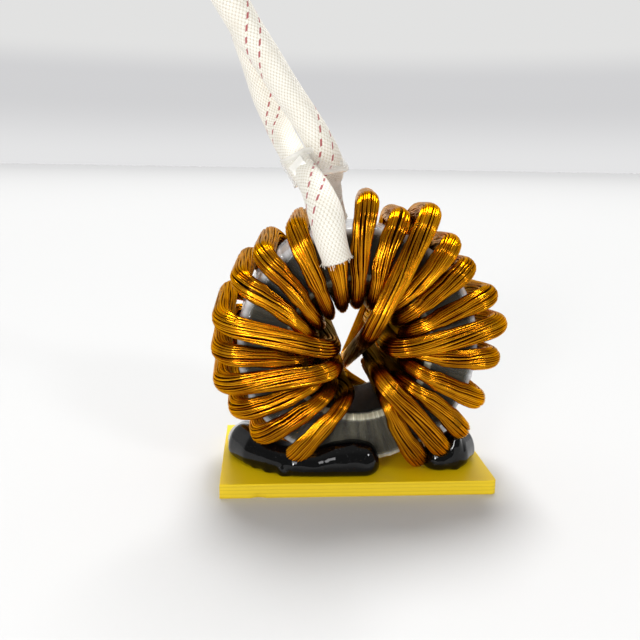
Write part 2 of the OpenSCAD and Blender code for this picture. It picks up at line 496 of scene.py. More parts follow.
@dataclass(frozen=True)
class BraidedGlass:
    """White glass-fibre braid with a pair of red tracer threads that run round it, and painted shade between
    its yarns.
    """

    white: Colour = (0.95, 0.92, 0.84)
    hollow: Colour = (0.66, 0.59, 0.46)
    soil: Colour = (0.72, 0.64, 0.50)
    red: Colour = (0.40, 0.02, 0.03)
    round_length: float = 20.4 * MM
    pick: float = 0.85 * MM
    slope: float = 0.75
    tracer_rise: float = 28.5 * MM
    tracers: Span = (0.30, 0.475)
    tracer_half: Span = (0.009, 0.018)
    dash_pitch: float = 2.0 * MM

    def build(self) -> bpy.types.Material:
        """Makes the material.

        Returns:
            The material.
        """
        s = Surface("braided_glass")
        around, along, _ = s.parts(s.wire("ShaderNodeUVMap", {"uv_map": "Sleeve"}))
        # Two families of yarns cross on the diagonals.
        one = (around * self.round_length + along * self.slope) / self.pick
        two = (along * self.slope - around * self.round_length) / self.pick
        over = s.step(s.math("SINE", one * math.tau) * s.math("SINE", two * math.tau), -0.35, 0.35)
        rib_one, rib_two = (s.math("ABSOLUTE", s.math("SINE", way * math.pi)) for way in (one, two))
        height = over * rib_one + (1 - over) * rib_two
        # The tracers climb with one family and dive under at each dash.
        climb = s.math("FRACT", around - along / self.tracer_rise + 1.0)
        off = (s.math("ABSOLUTE", climb - place) for place in self.tracers)
        first, second = (1 - s.step(way, *self.tracer_half) for way in off)
        dash = s.math("FRACT", along / self.dash_pitch)
        shown = s.step(dash, 0.02, 0.1) * (1 - s.step(dash, 0.56, 0.64))
        red = s.math("MINIMUM", (first + second) * shown, 1.0)
        # Painted shade: the dips between the yarns are darker.
        base = s.mix(s.step(height, 0.1, 0.7), self.hollow, self.white)
        base = s.mix(s.step(s.noise(s.here(), 130.0, 3.0), 0.5, 0.8) * 0.35, base, self.soil)
        return s.finish(
            {
                "Base Color": s.mix(red * 0.9, base, self.red),
                "Roughness": 0.62 - height * 0.12,
                "Sheen Weight": 0.25,
                "Normal": s.bump(height, 0.14 * MM, 0.7),
            }
        )


@dataclass(frozen=True)
class LooseYarn:
    """White glass-fibre yarn."""

    white: Colour = (0.92, 0.88, 0.78)
    soil: Colour = (0.70, 0.62, 0.48)

    def build(self) -> bpy.types.Material:
        """Makes the material.

        Returns:
            The material.
        """
        s = Surface("loose_yarn")
        shade = s.noise(s.here(), 700.0, 1.0)
        return s.finish({"Base Color": s.mix(shade * 0.5, self.white, self.soil), "Roughness": 0.55})


@dataclass(frozen=True)
class GlassEpoxy:
    """Yellow glass-epoxy sheet, with its plies on the sawn edges."""

    face: Colour = (0.95, 0.66, 0.001)
    cloud: Colour = (0.84, 0.56, 0.001)
    thread: Colour = (0.97, 0.78, 0.08)
    edge: Colour = (0.84, 0.60, 0.02)
    ply: Colour = (0.60, 0.40, 0.008)
    thickness: float = 3.5 * MM
    plies: int = 4
    weave_pitch: float = 1.1 * MM

    def build(self) -> bpy.types.Material:
        """Makes the material.

        Returns:
            The material.
        """
        s = Surface("glass_epoxy")
        here = s.here()
        x, y, z = s.parts(here)
        up = s.math("ABSOLUTE", s.parts(s.wire("ShaderNodeNewGeometry", out="Normal"))[2])
        side = 1 - s.step(up, 0.5, 0.8)
        wobble = s.noise(s.joined(x * 60.0, y * 60.0, z * 900.0), 1.0, 3.0)
        layer = s.math("FRACT", z * (self.plies / self.thickness) + wobble * 0.35)
        line = 1 - s.step(s.math("ABSOLUTE", layer - 0.5), 0.03, 0.16)
        wave = math.tau / self.weave_pitch
        weave = s.math("SINE", x * wave) * s.math("SINE", y * wave)
        cloud = s.noise(here, 55.0, 4.0, 0.6)
        face = s.mix(s.step(cloud, 0.3, 0.75) * 0.5, self.face, self.cloud)
        face = s.mix(s.step(weave, 0.2, 1.0) * 0.10, face, self.thread)
        return s.finish(
            {
                "Base Color": s.mix(side, face, s.mix(line * 0.55, self.edge, self.ply)),
                "Roughness": 0.34 + side * 0.25 + cloud * 0.08,
                "Specular IOR Level": 0.3,
                "Normal": s.bump(weave * 0.2 + cloud * 0.4 - line * side * 0.8, 0.08 * MM, 0.5),
            }
        )


@dataclass(frozen=True)
class ClearTape:
    """Clear tape with a soft gloss, milky at its edges and its loose end."""

    grey: Colour = (0.86, 0.84, 0.78)
    pale: Colour = (0.95, 0.94, 0.90)

    def build(self) -> bpy.types.Material:
        """Makes the material.

        Returns:
            The material.
        """
        s = Surface("clear_tape")
        crease = s.noise(s.here(), 320.0, 3.0)
        return s.finish(
            {
                "Base Color": s.mix(crease, self.grey, self.pale),
                "Alpha": 0.15 + s.attribute("milky") * 0.65 + s.step(crease, 0.4, 0.7) * 0.1,
                "Roughness": 0.12 + crease * 0.15,
                "Normal": s.bump(crease, 0.4 * MM, 0.5),
            }
        )


# ---------------------------------------------------------------- shapes


def unit(v: Array) -> Array:
    """Vectors of length 1 along the last axis."""
    return v / np.maximum(np.linalg.norm(v, axis=-1, keepdims=True), 1e-12)


def blend(a: Any, b: Any, t: float) -> Any:
    """Goes from a at 0 to b at 1."""
    return a + (b - a) * t


def way_run(points: Array) -> Array:
    """The distance run at each point of a line."""
    return np.concatenate([[0], np.cumsum(np.linalg.norm(np.diff(points, axis=0), axis=1))])


def put(name: str, data: bpy.types.ID) -> bpy.types.Object:
    """Puts a mesh, lamp or camera into the scene.

    Args:
        name: The object's name.
        data: What it shows.

    Returns:
        The object.
    """
    obj = bpy.data.objects.new(name, data)
    bpy.context.scene.collection.objects.link(obj)
    return obj


def mesh_object(
    name: str,
    points: Array,
    faces: Iterable[Sequence[int]] = (),
    edges: Iterable[Sequence[int]] = (),
    smooth: bool = True,
) -> bpy.types.Object:
    """Makes an object at the origin from points in millimetres.

    Args:
        name: The piece's name.
        points: Its points.
        faces: Each face's points, counter-clockwise from outside.
        edges: Each edge's points, where it has no faces.
        smooth: Whether its faces are shaded smooth.

    Returns:
        The object, in the scene.
    """
    mesh = bpy.data.meshes.new(name)
    mesh.from_pydata((np.asarray(points) * MM).tolist(), list(edges), [list(map(int, f)) for f in faces])
    mesh.polygons.foreach_set("use_smooth", [smooth] * len(mesh.polygons))
    mesh.update()
    return put(name, mesh)


def store(obj: bpy.types.Object, name: str, values: Array) -> None:
    """Stores a number or a vector for each point of a mesh, under a name."""
    kind, key = ("FLOAT_VECTOR", "vector") if values.ndim == 2 else ("FLOAT", "value")
    obj.data.attributes.new(name, kind, "POINT").data.foreach_set(key, values.ravel())


def loft_faces(
    rings: int, sides: int, closed: bool = False, capped: bool = False, first: int = 0
) -> list[tuple[int, ...]]:
    """Faces between rings of points that follow each other.

    Args:
        rings: The number of rings.
        sides: The number of points in a ring.
        closed: Whether the last ring joins the first.
        capped: Whether the first and last rings get a face.
        first: The number of the first point.

    Returns:
        The quads, and then the two caps.
    """
    faces: list[tuple[int, ...]] = []
    for i in range(rings if closed else rings - 1):
        a = first + i * sides
        b = first + ((i + 1) % rings) * sides
        for j in range(sides):
            k = (j + 1) % sides
            faces.append((a + j, a + k, b + k, b + j))
    if capped:
        top = first + (rings - 1) * sides
        faces += [tuple(range(first, first + sides))[::-1], tuple(range(top, top + sides))]
    return faces


def hoops(middle: Array, first: Array, second: Array, angle: Array) -> Array:
    """Rings of points round a line.

    Args:
        middle: The middle of each ring.
        first: The half axis at angle 0, for each ring, and for each point in it where they differ.
        second: The half axis a quarter turn on, in the same form.
        angle: The angle of each point in a ring.

    Returns:
        The points, ring by ring.
    """
    return middle[:, None] + first * np.cos(angle)[:, None] + second * np.sin(angle)[:, None]


def smooth_route(points: Array, spacing: float, parts: int = 24) -> Array:
    """A Catmull-Rom curve through the points, with even steps.

    Args:
        points: The points that the curve passes.
        spacing: The length of a step.
        parts: How many parts each span is first cut into.

    Returns:
        The curve's points.
    """
    p = np.vstack([2 * points[0] - points[1], points, 2 * points[-1] - points[-2]])
    fine = []
    for i in range(1, len(p) - 2):
        a, b, c, d = p[i - 1 : i + 3]
        for t in np.linspace(0, 1, parts, endpoint=False):
            bend = (2 * a - 5 * b + 4 * c - d) * t**2 + (3 * b - a - 3 * c + d) * t**3
            fine.append(0.5 * (2 * b + (c - a) * t + bend))
    fine = np.vstack([fine, p[-2]])
    run = way_run(fine)
    even = np.linspace(0, run[-1], max(2, round(run[-1] / spacing)) + 1)
    return np.stack([np.interp(even, run, fine[:, k]) for k in range(3)], axis=1)


@dataclass(frozen=True)
class Line:
    """A fine line through a bundle or a sleeve, with directions and sizes at each point."""

    points: Array
    along: Array
    across: Array
    out: Array
    half: Array
    run: Array

    def cut(self, start: int, end: int) -> "Line":
        """The stretch from one point to another, both included."""
        return Line(*(getattr(self, f.name)[start : end + 1] for f in fields(self)))


def bake(obj: bpy.types.Object) -> bpy.types.Object:
    """Turns the object's modifiers into plain mesh.

    Args:
        obj: The object.

    Returns:
        The same object, with its new mesh.
    """
    graph = bpy.context.evaluated_depsgraph_get()
    old, done = obj.data, obj.evaluated_get(graph)
    mesh = bpy.data.meshes.new_from_object(done, preserve_all_data_layers=True, depsgraph=graph)
    obj.modifiers.clear()
    obj.data = mesh
    mesh.name = obj.name
    bpy.data.meshes.remove(old)
    return obj


def hand_in(obj: bpy.types.Object, slot: Slot, *nodes: Node) -> bpy.types.Object:
    """Ties a finished piece to the frame and reports it.

    Args:
        obj: The piece.
        slot: The record's material slot for its finish; not used.
        nodes: The solids that it stands for.

    Returns:
        The piece.
    """
    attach(obj, BODY)
    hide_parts(*[n.value for n in nodes])
    log.info("%s: %d faces, for %s", obj.name, len(obj.data.polygons), ", ".join(n.value for n in nodes))
    return obj


# ---------------------------------------------------------------- winding


@dataclass(frozen=True)
class Turn:
    """One turn of the bundle. Angles are in degrees, counter-clockwise from the right, and lengths in mm."""

    rim: float
    slack: float
    hole: float
    layer: float = 0.0
    over_front: float = 0.0
    over_back: float = 0.0
    bow_front: float = 0.0
    bow_back: float = 0.0
    twist: float = 0.0
    climb: float = 0.0


@dataclass
class Bend:
    """A place where the bundle turns: its point, half height and width, reach, and the way out in mid run."""

    point: Array
    half: Array
    reach: float
    out: Array | None = None


Row = tuple[Array, Array, Array]


@dataclass
class BundlePath:
    """The way of the bundle round the ring, as the solid has it, in finer steps. Lengths are in mm."""

    ring_z: float
    core_od: float = 56.5
    core_id: float = 32.0
    core_depth: float = 24.0
    core_edge: float = 2.0
    film_t: float = 0.3
    bundle_h: float = 5.1
    bundle_w: float = 5.3
    squeezed_w: float = 3.5
    squeezed_fill: float = 0.84
    loose_share: Span = (0.98, 0.85)
    clear: float = 0.15
    swell: float = 0.1
    mid_reach: float = 3.0
    most_reach: float = 0.48
    slack_y: float = 0.4
    rim_lay: float = 6.0
    lay_fade: float = 1.2
    bend_steps: int = 8
    mid_steps: int = 3
    step: float = 2.0
    softenings: int = 3
    lead_in: Turn = Turn(0, 0, 111.5)
    turns: tuple[Turn, ...] = (
        Turn(119, 0.5, 128.5),
        Turn(136, 0.5, 145.5, bow_front=1),
        Turn(150, 1, 162.5, bow_front=1.5),
        Turn(168, 1.5, 169, 1.2, 5.5, 5.5),
        Turn(181, 1, 188),
        Turn(194, 1.5, 206, 1.2, 6, 5.5),
        Turn(207, 0.5, 216, bow_front=-1),
        Turn(222, 0, 234.5, bow_front=-0.5),
        Turn(239, 0, 255.5),
        Turn(299, 0, 299, bow_front=1),
        Turn(310, 1, 309, 1.2, 5.5, 5.5, -0.5, twist=10),
        Turn(321.5, 1, 324, bow_front=-1.5),
        Turn(337, 0, 342.5),
        Turn(357, 0.5, 361, bow_front=1),
        Turn(371.5, 2, 373, 1.2, 6, 6.5, 0.5),
        Turn(384, 1.5, 382.5, bow_front=-0.5),
        Turn(399, 0, 400),
        Turn(411, 1, 418.5, bow_front=1),
        Turn(425, 4, 436, 1.3, 6.5, 11.5, 0, 3, 196, -1.6),
        Turn(435, 0.5, 437, bow_front=-1.5),
        Turn(449, 3, 454.5, bow_front=-1),
    )

    def __post_init__(self) -> None:
        """Works out the sizes that follow from the ring and the bundle."""
        squeezed_h = self.squeezed_fill * self.bundle_h * self.bundle_w / self.squeezed_w
        self.squeezed = np.array([squeezed_h, self.squeezed_w]) / 2
        self.loose = np.array([self.bundle_h, self.bundle_w]) * self.loose_share / 2
        self.rim_half = np.array([self.bundle_h, self.bundle_w]) / 2
        self.bend = self.core_edge + self.bundle_h / 2 + self.clear + self.film_t
        self.film_r = self.core_od / 2 + self.film_t
        self.bore_r = self.core_id / 2 - self.film_t
        self.face_y = self.core_depth / 2 + self.film_t
        self.rim_r = self.film_r + self.clear + self.bundle_h / 2
        self.rim_y = self.face_y + self.clear + self.bundle_h / 2

    def ring_point(self, r: float, angle: float, y: float) -> Array:
        """A point at a radius and angle round the ring's axis."""
        a = math.radians(angle)
        return np.array([r * math.cos(a), y, self.ring_z + r * math.sin(a)])

    def lay(self, t: Turn) -> float:
        """Degrees that the back of a turn lies before its front, none near the board."""
        return self.rim_lay * max(0.0, min(1.0, 1 + self.lay_fade * math.sin(math.radians(t.rim))))

    def rim_bend(self, t: Turn, angle: float, y: float) -> Bend:
        """Where a turn goes over the edge of the rim."""
        return Bend(self.ring_point(self.rim_r + t.slack, angle, y), self.rim_half, self.bend)

    def hole_bend(self, t: Turn, side: int) -> Bend:
        """Where a turn goes into the hole.

        Args:
            t: The turn.
            side: -1 at the front and 1 at the back.

        Returns:
            The bend, squeezed between its neighbours where the turn lies on the bore.
        """
        layer, angle, over = t.layer, t.hole, t.over_front
        if side > 0:
            layer, angle, over = t.layer + t.climb, t.hole + t.twist, t.over_back
        half = blend(self.squeezed, self.loose, max(0.0, min(1.0, layer)))
        r = self.bore_r - self.clear - half[0] - layer * 2 * self.loose[0]
        y = side * (self.face_y + self.clear + half[0] + over)
        return Bend(self.ring_point(r, angle, y), half, self.bend)

    def run_bend(self, a: Bend, b: Bend, side: int, bow: float) -> Bend:
        """The slight bend in the middle of a run over a face.

        Args:
            a: The bend before the run.
            b: The bend after it.
            side: -1 on the front and 1 on the back.
            bow: How far the run bows to its side.

        Returns:
            The bend.
        """
        out = np.array([0.0, side, 0.0])
        across = unit(np.cross(out, unit((b.point - a.point) * [1, 0, 1])))
        point = (a.point + b.point) / 2 + across * bow + out * self.swell
        return Bend(point, (a.half + b.half) / 2 + [0, self.swell], self.mid_reach, out)

    def bends(self) -> list[Bend]:
        """Every bend, in order.

        Returns:
            The bends, from the front sleeve to the rear one.
        """
        out = [self.hole_bend(self.lead_in, -1)]
        for before, t in zip((self.lead_in, *self.turns), self.turns):
            leave = self.hole_bend(before, 1)
            back_y = self.rim_y + self.slack_y * (t.slack + before.over_back)
            back = self.rim_bend(t, t.rim - self.lay(t), back_y)
            front = self.rim_bend(t, t.rim, -self.rim_y - self.slack_y * t.slack)
            enter = self.hole_bend(t, -1)
            out += [leave, self.run_bend(leave, back, 1, before.bow_back), back, front]
            out += [self.run_bend(front, enter, -1, t.bow_front), enter]
        return out + [self.hole_bend(self.turns[-1], 1)]

    def arc(self, before: Array, bend: Bend, after: Array) -> list[Row]:
        """Rows round one bend.

        Args:
            before: The point before the bend.
            bend: The bend.
            after: The point after it.

        Returns:
            For each step round it, the point, the direction across the bundle and the half sizes.
        """
        d1, d2 = unit(bend.point - before), unit(after - bend.point)
        spans = [np.linalg.norm(bend.point - before), np.linalg.norm(after - bend.point)]
        reach = min(bend.reach, *(self.most_reach * span for span in spans))
        start, end = bend.point - d1 * reach, bend.point + d2 * reach
        pull = math.sqrt(max(0.0, (1 + float(d1 @ d2)) / 2))
        rows = []
        for t in np.linspace(0, 1, self.bend_steps if bend.out is None else self.mid_steps):
            share = np.array([(1 - t) ** 2, 2 * pull * t * (1 - t), t * t])
            point = (share[0] * start + share[1] * bend.point + share[2] * end) / share.sum()
            across = np.cross(d1, d2) if bend.out is None else np.cross(bend.out, unit(blend(d1, d2, t)))
            rows.append((point, unit(across), bend.half))
        return rows

    def line(self, start: Array, end: Array) -> Line:
        """The bundle's middle line.

        Args:
            start: The end of the bundle in the front sleeve.
            end: The end of the bundle in the rear sleeve.

        Returns:
            The line, with the straight runs filled in and the directions squared.
        """
        bends = self.bends()
        stops = [start, *(b.point for b in bends), end]
        rows = [row for a, bend, b in zip(stops, bends, stops[2:]) for row in self.arc(a, bend, b)]
        rows = [(start, rows[0][1], self.rim_half), *rows, (end, rows[-1][1], self.rim_half)]
        p, c, h = (np.array(column) for column in zip(*rows))
        gaps = np.linalg.norm(np.diff(p, axis=0), axis=1)
        counts = np.maximum(1, np.round(gaps / self.step)).astype(int)
        at = np.concatenate([*(np.arange(n) / n + i for i, n in enumerate(counts)), [len(p) - 1.0]])
        p, c, h = (np.stack([np.interp(at, np.arange(len(v)), k) for k in v.T], axis=1) for v in (p, c, h))
        for _ in range(self.softenings):
            p[1:-1] = p[:-2] * 0.2 + p[1:-1] * 0.6 + p[2:] * 0.2
            c[1:-1] = c[:-2] * 0.25 + c[1:-1] * 0.5 + c[2:] * 0.25
        along = unit(np.gradient(p, axis=0))
        c = unit(c - along * (c * along).sum(axis=1, keepdims=True))
        return Line(p, along, c, np.cross(along, c), h, way_run(p))


@dataclass
class Winding:
    """The wound bundle: strands laid round its packed middle, in three stretches. Lengths are in mm."""

    line: Line
    finish: EnamelledStrands
    strands: int = 30
    strand_r: float = 0.27
    sides: int = 6
    lay: float = 1 / 190.0
    wander: float = 0.55
    lift: float = 0.34
    wander_rate: float = 55.0
    lift_rate: float = 80.0
    seed: float = 3.0
    seed_step: float = 7.31
    lift_seed: float = 91.0
    middle_sides: int = 12
    middle_inset: float = 1.6
    stretches: tuple[str, ...] = ("winding_left", "winding_right", "winding_top")

    def recipe(self) -> Recipe:
        """Builds the tree that lays the strands along the bundle's middle line.

        Returns:
            The tree.
        """
        kinds = {"Strands": "Int", "Strand Radius": "Float", "Sides": "Int"}
        g = Recipe("lay_strands", kinds | dict.fromkeys(("Lay", "Wander", "Lift", "Seed"), "Float"))
        given = g.given
        line = g.wire("GeometryNodeMeshToCurve", values={"Mesh": given["Geometry"]})
        amount = {"Geometry": line, "Amount": given["Strands"]}
        copies = g.add("GeometryNodeDuplicateElements", {"domain": "SPLINE"}, amount)
        index = Wire(g, copies.outputs["Duplicate Index"])
        run = g.stored("run")
        seed = index * self.seed_step + given["Seed"]
        drift = self.drift(g, run * self.wander_rate, seed) - 0.5
        rise = self.drift(g, run * self.lift_rate, seed + self.lift_seed) - 0.5
        share = index / given["Strands"] + run * given["Lay"]
        angle = share * math.tau + drift * given["Wander"]
        radius = given["Strand Radius"]
        lift = rise * given["Lift"] - 0.5 * given["Lift"]
        high, wide = (g.stored(name) - radius + lift * radius for name in ("half_height", "half_width"))
        up = g.scaled(g.stored("out", "FLOAT_VECTOR"), g.math("COSINE", angle) * high)
        over = g.scaled(g.stored("across", "FLOAT_VECTOR"), g.math("SINE", angle) * wide)
        spread = {"Geometry": Wire(g, copies.outputs["Geometry"]), "Offset": g.vector("ADD", up, over)}
        moved = g.wire("GeometryNodeSetPosition", values=spread)
        tone = g.wire("ShaderNodeTexWhiteNoise", {"noise_dimensions": "1D"}, {"W": seed}, out="Value")
        toned = {"Geometry": moved, "Name": "strand_tone", "Value": tone}
        marked = g.wire("GeometryNodeStoreNamedAttribute", {"data_type": "FLOAT", "domain": "POINT"}, toned)
        tubes = g.tube(marked, radius, given["Sides"])
        g.close(g.wire("GeometryNodeSetShadeSmooth", values={0: tubes}))
        return g

    def drift(self, g: Graph, along: Wire, seed: Wire) -> Wire:
        """Slow noise along a strand, another for each seed."""
        values = {"Vector": g.joined(along, seed), "Scale": 1.0, "Detail": 1.0}
        return g.wire("ShaderNodeTexNoise", {"noise_dimensions": "2D"}, values)

    def middle_line(self, name: str, line: Line) -> bpy.types.Object:
        """A row of edges along the bundle.

        Args:
            name: The object's name.
            line: The stretch of the bundle.

        Returns:
            The object, with the line's directions and its sizes in metres stored on it.
        """
        obj = mesh_object(name, line.points, edges=[(i, i + 1) for i in range(len(line.points) - 1)])
        store(obj, "out", line.out)
        store(obj, "across", line.across)
        store(obj, "half_height", line.half[:, 0] * MM)
        store(obj, "half_width", line.half[:, 1] * MM)
        store(obj, "run", line.run * MM)
        return obj

    def build(self) -> None:
        """Makes the strands, stretch by stretch, and the middle of the bundle."""
        material = self.finish.build()
        recipe = self.recipe()
        inputs = {
            "Strands": self.strands,
            "Strand Radius": self.strand_r * MM,
            "Sides": self.sides,
            "Lay": self.lay / MM,
            "Wander": self.wander,
            "Lift": self.lift,
            "Seed": self.seed,
            "Finish": material,
        }
        count = len(self.stretches)
        edges = [round(len(self.line.points) * k / count) for k in range(count + 1)]
        for name, a, b in zip(self.stretches, edges, edges[1:]):
            obj = self.middle_line(name, self.line.cut(a, b))
            hand_in(recipe.grow(obj, inputs), Slot.COPPER, Node.WINDING)
        self.middle(material)

    def middle(self, material: bpy.types.Material) -> None:
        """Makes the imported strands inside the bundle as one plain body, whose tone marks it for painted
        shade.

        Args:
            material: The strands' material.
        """
        line = self.line
        half = line.half - self.middle_inset * self.strand_r
        angle = np.arange(self.middle_sides) * math.tau / self.middle_sides
        up, over = line.out * half[:, :1], line.across * half[:, 1:]
        points = hoops(line.points, up[:, None], over[:, None], angle)
        faces = loft_faces(len(line.points), self.middle_sides, capped=True)
        obj = mesh_object("winding_middle", points.reshape(-1, 3), faces)
        obj.data.materials.append(material)
        # A tone of -1 gives this body the painted shade colour.
        store(obj, "strand_tone", np.full(len(obj.data.vertices), -1.0))
        hand_in(obj, Slot.COPPER, Node.WINDING)


# ---------------------------------------------------------------- core and film


@dataclass
class RingCore:
    """The ring core and the film that is wrapped round it. Lengths are in mm."""

    path: BundlePath
    core_finish: CoreCoating
    film_finish: ClearFilm
    wraps: int = 44
    steps: int = 6
    lap_height: float = 0.12
    lap_share: float = 0.96
    most_tilt: float = 0.35
    tilt_reach: float = 0.02
    corner_steps: int = 7

    def section(self, grow: float) -> Array:
        """The ring's cut face, grown by a little.

        Args:
            grow: How far the outline stands out from the film's.

        Returns:
            Its outline as radius and depth, with round corners.
        """
        r_in, r_out = self.path.bore_r - grow, self.path.film_r + grow
        y, edge = self.path.face_y + grow, self.path.core_edge + self.path.film_t
        points = []
        for cx, cy, start in (
            (r_out - edge, y - edge, 0),
            (r_in + edge, y - edge, 90),
            (r_in + edge, edge - y, 180),
            (r_out - edge, edge - y, 270),
        ):
            for a in np.radians(start + np.linspace(0, 90, self.corner_steps)):
                points.append((cx + edge * math.cos(a), cy + edge * math.sin(a)))
        return np.array(points)

    def build(self) -> None:
        """Dresses the core and lays the film over it."""
        coating = self.core_finish.build()
        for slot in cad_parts[Node.CORE.value].material_slots:
            slot.link = "OBJECT"
            slot.material = coating
        log.info("%s: dressed as it is", Node.CORE.value)
        self.film()

    def film(self) -> None:
        """Makes the film in wraps that overlap like roof tiles, as one closed skin."""
        tilt = np.random.default_rng(11).uniform(-self.most_tilt, self.most_tilt, self.wraps)
        sides = len(self.section(0))
        around = np.linspace(0, math.tau, sides, endpoint=False)
        points, lap = [], []
        for wrap in range(self.wraps):
            for share in np.arange(self.steps) / (self.steps - 1):
                r, y = self.section(self.lap_height * (0.5 - share)).T
                lean = tilt[wrap] * np.sin(around + wrap) * (1 - share) * self.tilt_reach
                angle = math.tau * (wrap + share * self.lap_share) / self.wraps + lean
                points.append(np.stack([r * np.cos(angle), -y, self.path.ring_z + r * np.sin(angle)], axis=1))
                lap.append(np.full(sides, float(share == 0)))
        obj = mesh_object("film_wraps", np.concatenate(points), loft_faces(len(points), sides, closed=True))
        store(obj, "lap", np.concatenate(lap))
        obj.data.materials.append(self.film_finish.build())
        hand_in(obj, Slot.FILM, Node.FILM)


# ---------------------------------------------------------------- board and adhesive


@dataclass
class Board:
    """The sawn glass-epoxy board, with a broken corner and a nick in its front edge. Lengths are in mm."""

    finish: GlassEpoxy
    width: float = 65.0
    depth: float = 40.0
    thickness: float = 3.5
    clip: float = 1.0
    clip_shape: Span = (0.25, 0.4)
    bevel: float = 0.12
    uneven: float = 0.1
    nick_at: float = -23.5
    nick_width: float = 3.0
    nick_deep: float = 0.5
    nick_high: float = 1.2
    levels: tuple[float, ...] = (0.0, 0.12, 0.5, 0.9, 1.35, 1.8, 2.2, 2.65, 3.0, 3.38, 3.5)

    def outline(self) -> Array:
        """Runs round the board in steps of about 1 mm.

        Returns:
            The points.
        """
        x, y, c = self.width / 2, self.depth / 2, self.clip
        broken = [[x - c, -y], [x - self.clip_shape[0] * c, -y + self.clip_shape[1] * c], [x, c - y]]
        corners = np.array([[-x, -y], *broken, [x, y], [-x, y]])
        points = []
        for a, b in zip(corners, np.roll(corners, -1, axis=0)):
            n = max(1, round(float(np.linalg.norm(b - a))))
            points += [blend(a, b, t) for t in np.arange(n) / n]
        return np.array(points)

    def build(self) -> None:
        """Makes the board level by level, with slightly uneven sawn edges."""
        outline = self.outline()
        n = len(outline)
        way = unit(np.roll(outline, -1, axis=0) - np.roll(outline, 1, axis=0))
        inward = np.stack([-way[:, 1], way[:, 0]], axis=1)
        uneven = np.random.default_rng(5).uniform(0, self.uneven, n)
        uneven = np.convolve(np.tile(uneven, 3), np.ones(3) / 3, "same")[n : 2 * n]
        nick = np.clip(1 - ((outline[:, 0] - self.nick_at) / (self.nick_width / 2)) ** 2, 0, 1)
        nick = self.nick_deep * nick * (outline[:, 1] < 1 - self.depth / 2)
        points = []
        for level in self.levels:
            bevel = max(0.0, self.bevel - min(level, self.thickness - level))
            inset = bevel + uneven + nick * max(0.0, 1 - level / self.nick_high)
            points.append(np.column_stack([outline + inward * inset[:, None], np.full(n, level)]))
        faces = loft_faces(len(self.levels), n, capped=True)
        obj = mesh_object("board", np.concatenate(points), faces, smooth=False)
        obj.data.materials.append(self.finish.build())
        hand_in(obj, Slot.BOARD, Node.BOARD)


@dataclass(frozen=True)
class Lump:
    """A lump of adhesive: its place on the board and its size, in mm."""

    x: float
    y: float
    radius: float
    top: float


@dataclass
class AdhesiveBead:
    """A bead of adhesive that ran together from lumps and set smooth. Lengths are in mm."""

    name: str
    node: Node
    finish: bpy.types.Material
    lumps: tuple[Lump, ...]
    drips: tuple[Lump, ...] = ()
    board_t: float = 3.5
    spacing: float = 1.5
    widest_at: float = 0.25
    sunk: float = 0.8
    rows: int = 9
    sides: int = 18
    voxel: float = 0.42
    softenings: int = 10

    def build(self) -> None:
        """Joins the lumps into one smooth skin that lies flat on the board."""
        domes = [self.dome(lump) for lump in (*self.chain(), *self.drips)]
        faces = []
        for i, dome in enumerate(domes):
            faces += loft_faces(self.rows, self.sides, capped=True, first=i * len(dome))
        obj = mesh_object(self.name, np.concatenate(domes), faces)
        skin = obj.modifiers.new("skin", "REMESH")
        skin.mode = "VOXEL"
        skin.voxel_size = self.voxel * MM
        soften = obj.modifiers.new("soften", "SMOOTH")
        soften.iterations = self.softenings
        soften.factor = 0.5
        mesh = bake(obj).data
        places = np.empty(len(mesh.vertices) * 3, dtype=np.float32)
        mesh.vertices.foreach_get("co", places)
        places[2::3] = np.maximum(places[2::3], self.board_t * MM)
        mesh.vertices.foreach_set("co", places)
        mesh.polygons.foreach_set("use_smooth", [True] * len(mesh.polygons))
        mesh.materials.clear()
        mesh.materials.append(self.finish)
        hand_in(obj, Slot.ADHESIVE, self.node)

    def chain(self) -> list[Lump]:
        """Fills in where the lumps ran together.

        Returns:
            The lumps, with others between them.
        """
        out = [self.lumps[0]]
        for a, b in zip(self.lumps, self.lumps[1:]):
            n = max(1, round(math.hypot(b.x - a.x, b.y - a.y) / self.spacing))
            sizes = [(getattr(a, f.name), getattr(b, f.name)) for f in fields(Lump)]
            out += [Lump(*(blend(p, q, t) for p, q in sizes)) for t in np.arange(1, n + 1) / n]
        return out

    def dome(self, lump: Lump) -> Array:
        """A squashed ball that is sunk a little into the board.

        Args:
            lump: Its place and size.

        Returns:
            Its points, ring by ring from below.
        """
        middle = blend(self.board_t, lump.top, self.widest_at)
        lat = np.linspace(-math.pi / 2, math.pi / 2, self.rows + 2)[1:-1]
        lon = np.arange(self.sides) * math.tau / self.sides
        tall = np.where(lat > 0, lump.top - middle, middle - self.board_t + self.sunk)
        x, y = (np.outer(np.cos(lat), way(lon)) * lump.radius for way in (np.cos, np.sin))
        z = np.repeat(middle + tall * np.sin(lat), self.sides)
        return np.column_stack([lump.x + x.ravel(), lump.y + y.ravel(), z])


# ---------------------------------------------------------------- leads


@dataclass(frozen=True)
class Wave:
    """A slight unevenness of a sleeve: its height and length in mm, and its number of waves round it."""

    height: float
    length: float
    count: int


@dataclass(frozen=True)
class Swell:
    """A stretch where a sleeve is wider: how far along it, how long and by how much, in mm."""

    at: float
    reach: float
    more: float


